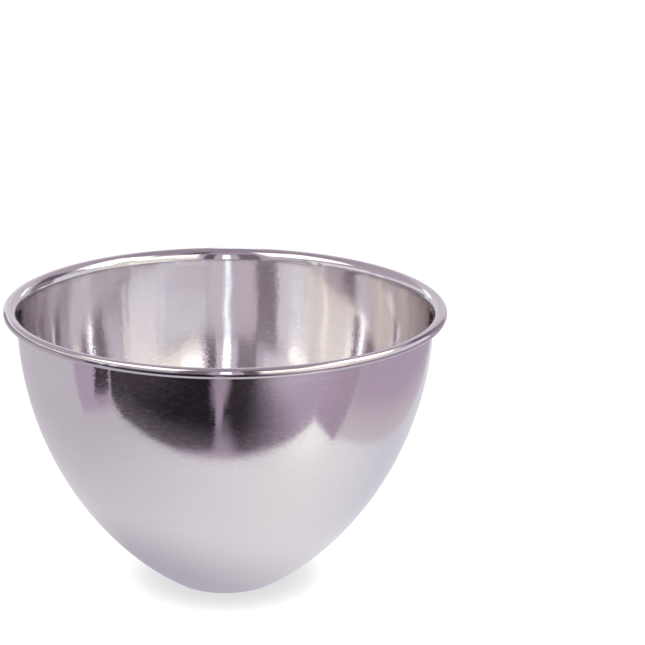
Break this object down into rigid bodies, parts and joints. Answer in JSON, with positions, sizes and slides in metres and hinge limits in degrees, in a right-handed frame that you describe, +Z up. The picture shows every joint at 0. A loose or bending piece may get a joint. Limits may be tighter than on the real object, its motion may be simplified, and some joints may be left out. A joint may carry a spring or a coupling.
{
  "type": "mixing bowl",
  "caption": "Deep stainless mixing bowl with a small flat base, a swept wall that stands upright at the top, and an outward rolled, wired rim; holds ingredients for hand or machine mixing.",
  "frame": {"origin": "centre of the flat base, on the surface the bowl stands on", "axes": "+Z up along the axis the bowl was spun about, out of its mouth; X and Y are any two square directions, because the bowl is round"},
  "size_m": [0.3, 0.3, 0.1987],
  "materials": {
    "brushed_stainless": "fine circumferential brushing, near mirror on the rim",
    "drawn_wire": "plain drawn steel wire"
  },
  "bodies": {
    "root": {"bowl_shell": "brushed_stainless", "rim_wire": "drawn_wire"}
  },
  "joints": []
}
